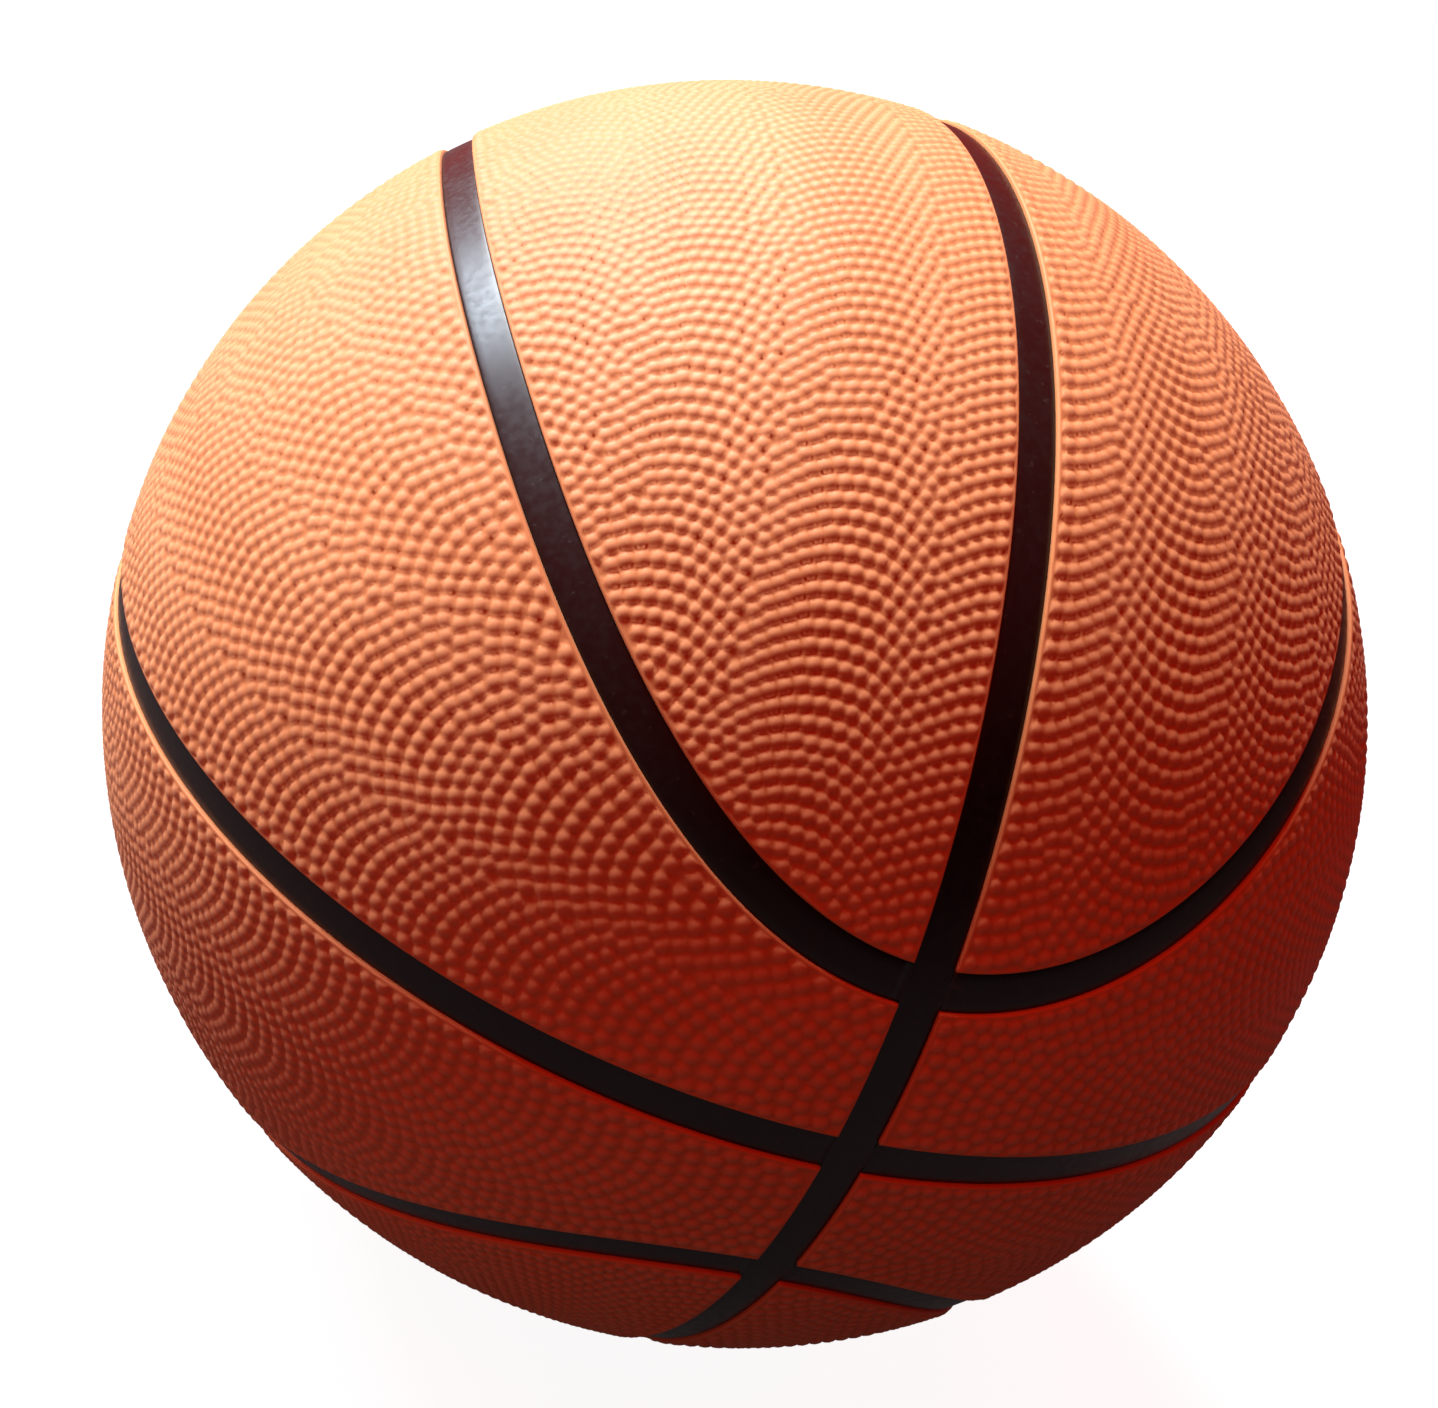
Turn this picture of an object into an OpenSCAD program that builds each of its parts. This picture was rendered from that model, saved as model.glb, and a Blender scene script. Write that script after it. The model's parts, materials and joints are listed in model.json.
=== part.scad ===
// Moulded rubber basketball, size 7, taken apart into the pieces that it is built from.
// The origin is the centre of the ball. +Z is the pole that the upper loop seam goes round,
// the straight seam that runs round the ball from pole to pole lies in the plane x = 0,
// and the other straight seam lies in the plane z = 0.

/* [Ball] */
// Outside diameter over the pebbles
ball_d = 241; // [200:0.5:260]

/* [Wall] */
// Thickness of the rubber cover panels, pebbles included
panel_t = 1.9; // [1.6:0.1:4]
// Gap for the bond between the carcass and the panels and strips on it
bond_gap = 0.1; // [0.05:0.01:0.2]
// Thickness of the carcass rubber under the cover
carcass_t = 0.5; // [0.4:0.1:2]
// Thickness of the layer of nylon thread
winding_t = 0.3; // [0.2:0.1:1.5]
// Thickness of the bladder
bladder_t = 0.5; // [0.4:0.1:2]

/* [Channels] */
// Width of the channels between the panels
channel_w = 6.2; // [4:0.1:9]
// Thickness of the strip on the floor of a channel
strip_t = 1; // [0.3:0.1:1.3]
// Width of the bevel along the outer edges of the panels
bevel_w = 0.7; // [0.3:0.1:1]

/* [Loop seams] */
// Angle from the pole to the loop where it crosses the pole to pole seam
loop_at_cross = 76.4; // [74:0.1:78]
// The same angle 30 degrees round the pole from the crossing
loop_at_shoulder = 63.2; // [61:0.1:65]
// The same angle 60 degrees round
loop_at_flank = 47.9; // [46:0.1:50]
// The same angle 90 degrees round, where the loop comes nearest to its pole
loop_at_side = 43.2; // [41:0.1:45]

/* [Valve] */
// Angle of the valve below the plane z = 0, halfway down a wide panel
valve_tilt = 23; // [15:1:30]
// Angle of the valve round the pole from the plane y = 0, towards the back
valve_turn = 15; // [10:1:25]
// Diameter of the hole that the valve shows in
port_d = 8; // [6:0.1:12]
// Depth of the plug's face below the pebbles
plug_recess = 0.6; // [0.2:0.1:1.5]
// Length of the rubber plug
plug_l = 14; // [12:0.5:20]
// Diameter of the plug's stem
stem_d = 5.6; // [5:0.1:7]
// Diameter of the collar that keeps the plug in its housing
collar_d = 8; // [7.4:0.1:9]
// Thickness of that collar
collar_t = 1.6; // [1:0.1:3]
// Diameter of the guide hole for the inflating needle
guide_d = 2.6; // [2:0.1:3]
// Depth of the guide hole below its countersink
guide_l = 6; // [4:0.5:8]
// Diameter of the countersink that leads the needle in
countersink_d = 4; // [3.6:0.1:5]
// Outside diameter of the housing's barrel inside the bladder
barrel_d = 13; // [12:0.5:18]
// Thickness of rubber under the plug, at the housing's inner end
barrel_floor_t = 2; // [1:0.1:4]
// Diameter of the air hole in the housing's inner end
air_hole_d = 2; // [1:0.1:3]
// Diameter of the flange that bonds the housing to the bladder
flange_d = 34; // [26:1:50]
// Thickness of that flange
flange_t = 1.2; // [0.8:0.1:3]
// Gap round the plug in its housing and in the port
plug_clearance = 0.1; // [0.05:0.01:0.2]

/* [Hidden] */

// Smoothness of the round faces
$fn = 96;
// Straight steps in one turn of a loop seam
loop_steps = 96;

// Radii of the layers, from the outside in
ball_r = ball_d / 2;
cover_r = ball_r - panel_t;
carcass_r = cover_r - bond_gap;
winding_r = carcass_r - carcass_t;
bladder_r = winding_r - winding_t;
air_r = bladder_r - bladder_t;
strip_r = cover_r + strip_t;
half_w = channel_w / 2;

// Every cut runs past the ball by the ball's own radius
cut_r = 2 * ball_r;

// The angle from the pole is a sum of cosines through the four named stations
loop_mean = (loop_at_cross + 2 * loop_at_shoulder + 2 * loop_at_flank + loop_at_side) / 6;
loop_oval = (loop_at_cross + loop_at_shoulder - loop_at_flank - loop_at_side) / 3;
loop_square = (loop_at_cross - loop_at_shoulder - loop_at_flank + loop_at_side) / 3;
loop_trim = (loop_at_cross - 2 * loop_at_shoulder + 2 * loop_at_flank - loop_at_side) / 6;

function loop_angle(turn) =
    loop_mean + loop_oval * cos(2 * turn) + loop_square * cos(4 * turn) + loop_trim * cos(6 * turn);

// How fast that angle changes, in degrees for each degree that the loop goes round its pole
function loop_slope(turn) =
    -(2 * loop_oval * sin(2 * turn) + 4 * loop_square * sin(4 * turn) + 6 * loop_trim * sin(6 * turn))
    * PI / 180;

function unit(v) = v / norm(v);

// Direction from the centre to the loop, and the direction in which the loop runs there
function loop_point(turn) =
    let (a = loop_angle(turn))
    [sin(a) * sin(turn), -sin(a) * cos(turn), cos(a)];
function loop_along(turn) =
    let (a = loop_angle(turn))
    unit(
        loop_slope(turn) * [cos(a) * sin(turn), -cos(a) * cos(turn), -sin(a)]
        + sin(a) * [cos(turn), sin(turn), 0]
    );

// A point beside the loop: aside is the distance from it, square to it and away from the pole,
// measured on the ball's outside, and r is the distance from the centre
function beside_loop(turn, aside, r) =
    let (
        p = loop_point(turn),
        away = cross(loop_along(turn), p),
        a = aside / ball_r * 180 / PI
    )
    r * (p * cos(a) + away * sin(a));

loop_turns = [for (i = [0 : loop_steps - 1]) i * 360 / loop_steps];

// All that lies nearer to the pole than the loop moved aside: a cone with its tip at the centre.
// flare tilts its wall at the ball's outside, away from the pole above zero and towards it below
// zero, which bevels the edge of the panel that the cone cuts.
module inside_loop(aside, flare = 0) {
    n = loop_steps;
    rings = flare == 0
        ? [[aside, cut_r]]
        : [
            [aside, ball_r - bevel_w],
            [aside + 2 * flare, ball_r + bevel_w],
            [aside + 2 * flare, cut_r]
        ];
    last = n * (len(rings) - 1);
    tip = n * len(rings);
    points = [
        for (ring = rings, turn = loop_turns) beside_loop(turn, ring[0], ring[1]),
        [0, 0, 0],
        [0, 0, cut_r]
    ];
    faces = [
        for (i = [0 : n - 1])
            let (j = (i + 1) % n)
            each [
                [tip, i, j],
                for (k = [0 : n : last - 1])
                    each [[k + i, k + n + i, k + n + j], [k + i, k + n + j, k + j]],
                [tip + 1, last + j, last + i]
            ]
    ];
    polyhedron(points, faces);
}

// The wedge that bevels the edge of a panel along a straight seam, on the side that +Z points to
module straight_bevel() {
    outer_r = ball_r + bevel_w;
    rotate_extrude()
        polygon([
            [ball_r - 2 * bevel_w, half_w - bevel_w],
            [outer_r, half_w - bevel_w],
            [outer_r, half_w + 2 * bevel_w]
        ]);
}

// A layer of the wall, between two radii
module layer(outer_r, inner_r) {
    difference() {
        sphere(r = outer_r);
        sphere(r = inner_r);
    }
}

// Everything past a flat cut square to X, on its positive side
module past_x(start) {
    translate([start, -cut_r, -cut_r])
        cube([cut_r, 2 * cut_r, 2 * cut_r]);
}

// Puts a piece made for the quarter at +X and +Z into another quarter
module quarter(x_side, z_side) {
    mirror([x_side < 0 ? 1 : 0, 0, 0])
        mirror([0, 0, z_side < 0 ? 1 : 0])
            children();
}

// Turns +Z to the valve's axis
module at_valve() {
    rotate([0, 90 + valve_tilt, valve_turn])
        children();
}

// A panel within a loop, on one side of the pole to pole seam
module end_panel(x_side, z_side) {
    quarter(x_side, z_side)
        difference() {
            intersection() {
                sphere(r = ball_r);
                inside_loop(-half_w, -bevel_w);
                past_x(half_w);
            }
            sphere(r = cover_r);
            rotate([0, 90, 0])
                straight_bevel();
        }
}

// A panel between a loop and the plane z = 0, on one side of the pole to pole seam
module band_panel(x_side, z_side) {
    quarter(x_side, z_side)
        difference() {
            intersection() {
                sphere(r = ball_r);
                translate([half_w, -cut_r, half_w])
                    cube([cut_r, 2 * cut_r, cut_r]);
            }
            sphere(r = cover_r);
            inside_loop(half_w, bevel_w);
            straight_bevel();
            rotate([0, 90, 0])
                straight_bevel();
        }
}

module top_right_end_panel() {
    color("darkorange") end_panel(1, 1);
}
module top_left_end_panel() {
    color("darkorange") end_panel(-1, 1);
}
module bottom_right_end_panel() {
    color("darkorange") end_panel(1, -1);
}
module bottom_left_end_panel() {
    color("darkorange") end_panel(-1, -1);
}
module top_right_band_panel() {
    color("darkorange") band_panel(1, 1);
}
module top_left_band_panel() {
    color("darkorange") band_panel(-1, 1);
}
module bottom_left_band_panel() {
    color("darkorange") band_panel(-1, -1);
}

// The panel that the valve shows in
module bottom_right_band_panel() {
    color("darkorange")
        difference() {
            band_panel(1, -1);
            at_valve() {
                cylinder(d = port_d, h = cut_r);
                // Bevel round the port
                translate([0, 0, ball_r - bevel_w])
                    cylinder(d1 = port_d, d2 = port_d + 4 * bevel_w, h = 2 * bevel_w);
            }
        }
}

// The strip on the floor of the pole to pole channel is one ring, and the others stop against it
module pole_to_pole_strip() {
    color("black")
        rotate([0, 90, 0])
            intersection() {
                layer(strip_r, cover_r);
                translate([-cut_r, -cut_r, -half_w])
                    cube([2 * cut_r, 2 * cut_r, channel_w]);
            }
}

module middle_strip(x_side) {
    quarter(x_side, 1)
        intersection() {
            layer(strip_r, cover_r);
            translate([half_w, -cut_r, -half_w])
                cube([cut_r, 2 * cut_r, channel_w]);
        }
}
module middle_right_strip() {
    color("black") middle_strip(1);
}
module middle_left_strip() {
    color("black") middle_strip(-1);
}

module loop_strip(x_side, z_side) {
    quarter(x_side, z_side)
        difference() {
            intersection() {
                sphere(r = strip_r);
                inside_loop(half_w);
                past_x(half_w);
            }
            sphere(r = cover_r);
            inside_loop(-half_w);
        }
}
module top_loop_right_strip() {
    color("black") loop_strip(1, 1);
}
module top_loop_left_strip() {
    color("black") loop_strip(-1, 1);
}
module bottom_loop_right_strip() {
    color("black") loop_strip(1, -1);
}
module bottom_loop_left_strip() {
    color("black") loop_strip(-1, -1);
}

// Places along the valve, from the ball's centre out
plug_top = ball_r - plug_recess;
plug_bottom = plug_top - plug_l;
// The collar sits halfway down the plug
collar_top = plug_top - plug_l / 2;
countersink_depth = (countersink_d - guide_d) / 2;
barrel_bottom = plug_bottom - plug_clearance - barrel_floor_t;
// The neck that rises through the wall round the plug fills the hole in each layer
neck_d = port_d + 2 * flange_t;
nose_h = stem_d / 2;

module carcass() {
    color("dimgray")
        difference() {
            layer(carcass_r, winding_r);
            at_valve()
                cylinder(d = neck_d, h = cut_r);
        }
}

module thread_winding() {
    color("ivory")
        difference() {
            layer(winding_r, bladder_r);
            at_valve()
                cylinder(d = neck_d, h = cut_r);
        }
}

module bladder() {
    color("dimgray")
        difference() {
            layer(bladder_r, air_r);
            at_valve()
                cylinder(d = neck_d, h = cut_r);
        }
}

// The plug's outline, larger all round by grow, so that the housing's socket follows it
module plug_body(grow) {
    // Head, in the port and the neck
    translate([0, 0, collar_top])
        cylinder(d = stem_d + 2 * grow, h = plug_top - collar_top);
    // Collar
    translate([0, 0, collar_top - collar_t - grow])
        cylinder(d = collar_d + 2 * grow, h = collar_t + 2 * grow);
    // Stem and rounded nose
    translate([0, 0, plug_bottom + nose_h])
        cylinder(d = stem_d + 2 * grow, h = collar_top - plug_bottom - nose_h);
    translate([0, 0, plug_bottom + nose_h])
        sphere(d = stem_d + 2 * grow);
}

// The button that fills the port, on top of the housing's neck
module plug_button() {
    translate([0, 0, carcass_r])
        cylinder(d = port_d - 2 * plug_clearance, h = plug_top - carcass_r);
}

// The self-sealing plug: below the guide hole it is closed, and the needle parts a slit there
module valve_plug() {
    color("black")
        at_valve()
            difference() {
                union() {
                    plug_body(0);
                    plug_button();
                }
                translate([0, 0, plug_top - countersink_depth - guide_l])
                    cylinder(d = guide_d, h = cut_r);
                translate([0, 0, plug_top - countersink_depth])
                    cylinder(d1 = guide_d, d2 = countersink_d, h = countersink_depth);
            }
}

// The housing: flange under the bladder, neck through the wall, and barrel round the plug
module valve_housing() {
    color("dimgray")
        at_valve()
            difference() {
                union() {
                    intersection() {
                        layer(air_r, air_r - flange_t);
                        cylinder(d = flange_d, h = cut_r);
                    }
                    intersection() {
                        sphere(r = carcass_r);
                        translate([0, 0, air_r - flange_t])
                            cylinder(d = neck_d, h = cut_r);
                    }
                    intersection() {
                        sphere(r = air_r - flange_t / 2);
                        translate([0, 0, barrel_bottom])
                            cylinder(d = barrel_d, h = cut_r);
                    }
                }
                plug_body(plug_clearance);
                translate([0, 0, barrel_bottom - barrel_floor_t])
                    cylinder(d = air_hole_d, h = plug_l);
            }
}

bladder();
valve_housing();
valve_plug();
thread_winding();
carcass();
top_right_end_panel();
top_left_end_panel();
bottom_right_end_panel();
bottom_left_end_panel();
top_right_band_panel();
top_left_band_panel();
bottom_right_band_panel();
bottom_left_band_panel();
pole_to_pole_strip();
middle_right_strip();
middle_left_strip();
top_loop_right_strip();
top_loop_left_strip();
bottom_loop_right_strip();
bottom_loop_left_strip();
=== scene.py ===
# %% [markdown]
# A moulded rubber basketball, built in Blender round the frame that its CAD model gives.
#
# The real ball is made in a heated mould. Air presses eight sheets of soft orange rubber
# into the mould's wall, which is engraved with thousands of round pits: each pit leaves a
# pebble. Ribs in the mould leave the channels between the panels, and smooth black rubber
# lies on their floors.
#
# The frame says where each part of the ball is. This lesson gives those parts their looks:
# it makes the pebbles as real geometry, lays smooth strips in the channels, and writes the
# finish of every piece as nodes.

# %% Load the frame
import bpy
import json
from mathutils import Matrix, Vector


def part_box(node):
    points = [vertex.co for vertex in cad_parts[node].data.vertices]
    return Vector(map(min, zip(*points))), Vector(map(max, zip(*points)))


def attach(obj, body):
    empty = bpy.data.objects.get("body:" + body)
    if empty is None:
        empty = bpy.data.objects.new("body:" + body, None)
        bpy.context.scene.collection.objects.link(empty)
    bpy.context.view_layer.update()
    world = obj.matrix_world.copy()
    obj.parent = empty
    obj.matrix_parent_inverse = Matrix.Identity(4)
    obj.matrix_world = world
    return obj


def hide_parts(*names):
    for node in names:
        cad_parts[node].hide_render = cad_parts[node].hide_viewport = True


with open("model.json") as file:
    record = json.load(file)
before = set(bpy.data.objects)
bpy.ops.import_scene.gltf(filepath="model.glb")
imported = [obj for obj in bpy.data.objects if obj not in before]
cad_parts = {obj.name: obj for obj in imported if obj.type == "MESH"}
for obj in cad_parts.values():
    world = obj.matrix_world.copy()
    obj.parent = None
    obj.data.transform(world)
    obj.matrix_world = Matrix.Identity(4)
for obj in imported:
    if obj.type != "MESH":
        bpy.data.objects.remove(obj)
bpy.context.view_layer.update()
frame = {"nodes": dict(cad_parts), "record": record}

# %% Tools from Blender and numpy
import itertools
import json
import math

import bpy
import numpy as np
from mathutils import Matrix, Vector, geometry, kdtree

mm = 0.001

# %% [markdown]
# The sizes of the ball come from the frame, so the pebbles stay on the panels that carry
# them. A layer of the wall is known by its distance from the ball's centre, and the
# channel's half width can be read off the strip that lies on its floor.

# %% Sizes of the ball
def node_points(node):
    """The points of a CAD node, one to a row."""
    return np.array([v.co for v in frame["nodes"][node].data.vertices])


def reach(node):
    """Least and greatest distance of a node's surface from the ball's centre."""
    lengths = np.linalg.norm(node_points(node), axis=1)
    return float(lengths.min()), float(lengths.max())


cover_inside, ball_r = reach("top_left_end_panel")
strip_top = reach("pole_to_pole_strip")[1]
channel_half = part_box("pole_to_pole_strip")[1].x
print(f"ball radius {ball_r / mm:.2f} mm, channel {2 * channel_half / mm:.2f} mm wide")

# %% [markdown]
# A render matches a photograph once its camera stands where the real one stood. The seams
# of a ball say where that was: they are known curves on a known sphere, and only one place,
# lens and aim makes them fall where the photograph shows them. The distance is written in
# radii of the ball, because that is what the seams can tell.
#
# The real camera was tilted, and the picture was cut from a larger one, which a shift of
# the lens stands for. Blender counts a sensor and a lens in millimetres.

# %% Camera
photo_w = 1438
photo_h = 1408
focal_pixels = 1595.2
centre_pixel = (579.07, 520.14)
sensor_w = 36
stand_azimuth = math.radians(-21.12)
stand_elevation = math.radians(27.342)
stand_distance = 2.7442 * ball_r
heading = math.radians(13.661)
pitch = math.radians(-23.640)
roll = math.radians(20.853)
nearest_seen = 10 * mm


def add_object(name, data):
    """A new object of the scene."""
    thing = bpy.data.objects.new(name, data)
    bpy.context.scene.collection.objects.link(thing)
    return thing


def pointing(turn, rise):
    """Direction at a turn from +Y towards +X and a rise above the horizon."""
    level = math.cos(rise)
    return Vector((math.sin(turn) * level, math.cos(turn) * level, math.sin(rise)))


forward = pointing(heading, pitch)
level_right = Vector((math.cos(heading), -math.sin(heading), 0))
level_up = level_right.cross(forward)
camera_right = level_right * math.cos(roll) + level_up * math.sin(roll)
camera_up = camera_right.cross(forward)
camera_data = bpy.data.cameras.new("camera")
camera = add_object("camera", camera_data)
bpy.context.scene.camera = camera
stand = pointing(math.pi - stand_azimuth, stand_elevation) * stand_distance
axes = Matrix((camera_right, camera_up, -forward)).transposed().to_4x4()
camera.matrix_world = Matrix.Translation(stand) @ axes
camera_data.sensor_width = sensor_w
camera_data.lens = focal_pixels * sensor_w / photo_w
camera_data.shift_x = (photo_w / 2 - centre_pixel[0]) / photo_w
camera_data.shift_y = (centre_pixel[1] - photo_h / 2) / photo_w
camera_data.clip_start = nearest_seen
print("camera at", (camera.location / ball_r)[:], "radii, lens", camera_data.lens)

# %% [markdown]
# Two straight seams and two loops part the cover. One straight seam runs from pole to pole
# in the plane x = 0 and the other round the middle in the plane z = 0. Each loop goes round
# a pole: it comes down towards the middle of the ball where it crosses the straight seam,
# and rises on both sides.
#
# A loop could be drawn by hand, point by point. Four measured angles from the pole, at
# four turns round it, are enough: a sum of four cosines runs through them, and its slope
# comes from the same four sizes.

# %% The loop seam
loop_angles = np.radians([76.4, 63.2, 47.9, 43.2])
station_turns = np.radians([0, 30, 60, 90])
wave_orders = np.array([0, 2, 4, 6])
wave_sizes = np.linalg.solve(np.cos(np.outer(station_turns, wave_orders)), loop_angles)


def loop_angle(turn):
    """Angle from the pole to the loop, at a turn round the pole."""
    return np.cos(np.multiply.outer(turn, wave_orders)) @ wave_sizes


def loop_slope(turn):
    """Change of that angle for each unit of turn."""
    return -np.sin(np.multiply.outer(turn, wave_orders)) @ (wave_orders * wave_sizes)


print("sizes of the waves in degrees:", np.degrees(wave_sizes).round(2))

# %% [markdown]
# The channel has a width, so what is needed is a line beside the loop. Points are kept as
# directions from the ball's centre, of length 1: a step square to the loop then stays on
# the ball, and a direction times a radius is a point on any layer of the wall.

# %% Directions beside the loop
def unit(v):
    return v / np.linalg.norm(v, axis=-1, keepdims=True)


def compass(angle, turn):
    """At an angle from the pole and a turn round it: the direction, and the unit steps away
    from the pole and round it."""
    flat = np.zeros_like(turn)
    point = np.stack([np.sin(angle) * np.sin(turn), -np.sin(angle) * np.cos(turn), np.cos(angle)], -1)
    away = np.stack([np.cos(angle) * np.sin(turn), -np.cos(angle) * np.cos(turn), -np.sin(angle)], -1)
    around = np.stack([np.cos(turn), np.sin(turn), flat], -1)
    return point, away, around


def across_loop(angle, turn):
    """The point there, and the unit step square to the loop and away from the pole."""
    point, away, around = compass(angle, turn)
    slope = loop_slope(turn)[..., None]
    return point, unit(away * np.sin(angle)[..., None] - around * slope)


def beside_loop(turn, aside):
    """Direction to a point beside the loop: aside is in metres on the ball's outside."""
    turn = np.asarray(turn, float)
    point, outward = across_loop(loop_angle(turn), turn)
    a = aside / ball_r
    return point * np.cos(a) + outward * np.sin(a)


def past_loop(points):
    """Distance of directions beyond the loop, in metres, and the unit step that adds to it."""
    turn = np.arctan2(points[:, 0], -points[:, 1])
    angle = np.arccos(np.clip(points[:, 2], -1, 1))
    slope = loop_slope(turn)
    _, outward = across_loop(angle, turn)
    share = np.sin(angle) / np.hypot(np.sin(angle), slope)
    return (angle - loop_angle(turn)) * share * ball_r, outward


top_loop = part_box("top_loop_right_strip")
print(f"loop reaches down to {strip_top * math.cos(loop_angles[0]) / mm:.1f} mm at its centre line,")
print(f"and the CAD strip to {top_loop[0].z / mm:.1f} mm at its edge")

# %% [markdown]
# A panel is an area with straight or looped sides. Two questions about it are asked again
# and again: how far is a point from the nearest side, and which way is inward? Both have
# a closed answer for each side, and the nearest side wins.
#
# The quarter of the ball with positive x and z is enough: an end panel lies inside the
# loop, and a band panel between the loop and the middle seam. Signs on the three axes turn
# a finished panel into the other quarters. The valve sits in the bottom right quarter, and
# the same signs bring its axis back to the one where the panels are made. Its port is as
# wide as that panel's points come near the axis.

# %% Quarters of the ball and the valve's port
quarter_signs = {
    "top_right": np.array([1, 1, 1]),
    "top_left": np.array([-1, -1, 1]),
    "bottom_right": np.array([1, -1, -1]),
    "bottom_left": np.array([-1, 1, -1]),
}
needle_hole = next(m for m in frame["record"]["mounts"] if m["name"] == "needle_hole")
valve_axis = np.array(needle_hole["axis"])
valve_in_quarter = valve_axis * quarter_signs["bottom_right"]
smooth_round_port = 3 * mm


def along_valve(node):
    """Heights on the valve's axis and distances from it, for the points of a CAD node."""
    points = node_points(node)
    heights = points @ valve_axis
    return heights, np.linalg.norm(points - np.outer(heights, valve_axis), axis=1)


def round_axis(axis, angles):
    """Unit steps square to an axis, at angles round it."""
    side = unit(np.cross(axis, [0, 1, 0]))
    return np.outer(np.cos(angles), side) + np.outer(np.sin(angles), np.cross(axis, side))


heights, distances = along_valve("bottom_right_band_panel")
port_r = distances[heights > cover_inside].min()
print(f"valve port {2 * port_r / mm:.2f} mm across")

# %% Sides of a panel
def from_sides(points, panel):
    """Distance in metres from the nearest side of a panel, and the step that leads inward."""
    past, outward = past_loop(points)
    flat = np.zeros_like(points)
    sides = [(points[:, 0] * ball_r - channel_half, flat + [1, 0, 0])]
    if "end" in panel:
        sides.append((-past - channel_half, -outward))
    else:
        sides.append((past - channel_half, outward))
        sides.append((points[:, 2] * ball_r - channel_half, flat + [0, 0, 1]))
    if "valve" in panel:
        away = points - valve_in_quarter
        clear = np.linalg.norm(away, axis=1) * ball_r - port_r - smooth_round_port
        sides.append((clear, unit(away)))
    distances = np.array([s[0] for s in sides])
    nearest = distances.argmin(0)
    steps = np.array([s[1] for s in sides])[nearest, np.arange(len(points))]
    return distances.min(0), steps

# %% [markdown]
# The pits of the mould are set in rows, and the pebbles are not equally fine on all panels.
# Counted in the photograph, those of the right end panel are 8% coarser than those of the
# left one, and those of the left band panel 13% coarser, and the panels that don't show are
# taken to be like these. Each kind of panel has its coarseness here, and every distance
# between pebbles is multiplied by it. Nearer than the touching distance two pebbles push
# each other, and nearer than the crowded one of them has to go.

# %% Spacing of the pebbles
coarseness = {"end": 1.0, "coarse_end": 1.08, "band": 1.13, "valve_band": 1.13}
row_gap = 2.58 * mm
pebble_gap = 2.12 * mm
touching = 2.38 * mm
crowded = 0.74 * touching
lip_w = 0.5 * mm
first_pebble = lip_w + 0.38 * touching
print(f"rows {row_gap / mm:.2f} mm apart, pebbles {pebble_gap / mm:.2f} mm apart in a row")
print(f"the outer pebbles stand {first_pebble / mm:.2f} mm in from the channel")

# %% [markdown]
# The rows leave the straight seam squarely and swing to and fro in scallops, like the waves
# on an old engraving. Pebbles on a plain grid or strewn at random don't show this, so each
# row is a chain of evenly spaced pebbles along a line of arcs.
#
# A ball is narrower towards its poles, and a row ends where its neighbours crowd it. So
# every row has a share of the width, and the shares of some fade to nothing on the way.
# Steps of the golden ratio keep neighbouring rows from ending together.

# %% Scalloped rows
scallop_w = 23.5 * mm
scallop_h = 4.8 * mm
end_first_crest = 2 * mm
band_first_crest = 9 * mm
rows_reach = math.radians(52)
widest_turn = 1.62
fade = 0.12
spare_rows = 9
line_points = 2000
golden = (math.sqrt(5) - 1) / 2


def scalloped_rows(panel):
    """Directions to pebbles in rows that leave the straight seam of the panel."""
    first_crest = end_first_crest if "end" in panel else band_first_crest
    gap = row_gap * coarseness[panel]
    step = pebble_gap * coarseness[panel]
    away = np.linspace(0, rows_reach * ball_r, line_points)
    lean = away / ball_r
    x = (away - first_crest + scallop_w / 2) % scallop_w - scallop_w / 2
    arc_r = (scallop_w ** 2 / 4 + scallop_h ** 2) / (2 * scallop_h)
    swing = np.sqrt(arc_r ** 2 - x ** 2) - (arc_r - scallop_h)
    path = np.append(0, np.cumsum(np.hypot(np.diff(away), np.diff(swing))))
    count = 2 * int(math.pi / 2 * ball_r / gap) + spare_rows
    ending = (np.arange(count) * golden) % 1
    shares = np.clip((np.cos(lean) - ending[:, None]) / fade + 0.5, 0, 1)
    middles = np.cumsum(shares, axis=0) - shares / 2
    middles -= shares.sum(0) / 2
    places = []
    for row in range(count):
        steps = np.arange(row % 2 / 2, path[-1] / step) * step
        a = np.interp(steps, path, lean)
        along = np.interp(steps, path, middles[row]) * gap - np.interp(steps, path, swing)
        turn = along / ball_r / np.cos(a)
        kept = (np.interp(steps, path, shares[row]) > 0.5) & (np.abs(turn) < widest_turn)
        a, turn = a[kept], turn[kept]
        near, far, up = np.cos(a) * np.cos(turn), np.cos(a) * np.sin(turn), np.sin(a)
        places.append(np.stack([up, far, near] if "end" in panel else [near, far, up], -1))
    return np.vstack(places)


print("pebbles before they are cut to an end panel:", len(scalloped_rows("end")))

# %% [markdown]
# Rows alone leave ragged edges, where a line of pebbles is cut by a seam. A mould's pits
# follow the seam. So the pebbles relax: each is pushed off by those nearer than their
# touching distance and kept clear of the sides, which lines the outer ones up along the
# seams. A tree of the points finds neighbours quickly, and it needs to be built again only
# every few laps, because pebbles hardly change neighbours.

# %% Push the pebbles apart
neighbours = 9
laps_to_a_search = 4
push_share = 0.35


def tree_of(points):
    """The points sorted for quick search."""
    tree = kdtree.KDTree(len(points))
    for i, p in enumerate(points):
        tree.insert(p, i)
    tree.balance()
    return tree


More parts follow.
